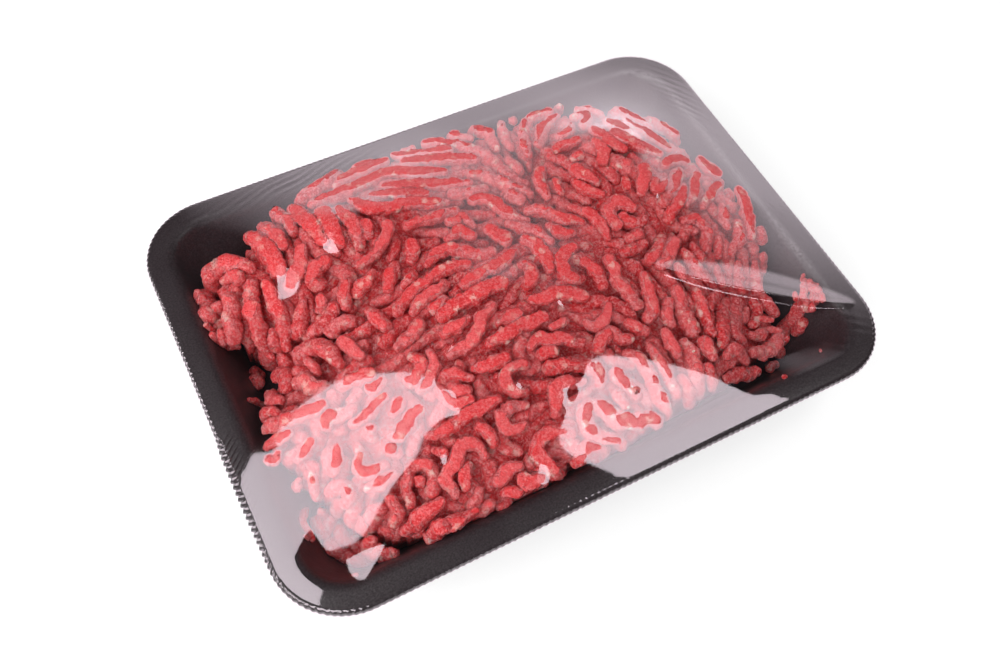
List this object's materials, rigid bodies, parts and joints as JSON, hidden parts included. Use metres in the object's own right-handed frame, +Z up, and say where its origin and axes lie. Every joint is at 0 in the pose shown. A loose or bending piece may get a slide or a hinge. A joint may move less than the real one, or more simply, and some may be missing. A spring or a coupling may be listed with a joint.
{
  "type": "meat tray pack",
  "caption": "Shallow black foam tray heaped with raw minced beef and wrapped in clear stretch film that is tented over the meat and lapped under the base.",
  "frame": {"origin": "middle of the underside, on the surface that the pack stands on", "axes": "+X along the tray's long side, +Y across it, +Z up"},
  "size_m": [0.2214, 0.1636, 0.05],
  "materials": {
    "foam": "black foamed plastic with a satin skin and a fine grain",
    "beef": "raw minced beef, moist, with pale flecks of fat",
    "film": "clear glossy stretch film"
  },
  "bodies": {
    "root": {"tray": "foam", "mince": "beef", "loose_clump": "beef", "film": "film", "film_lap": "film"}
  },
  "joints": []
}
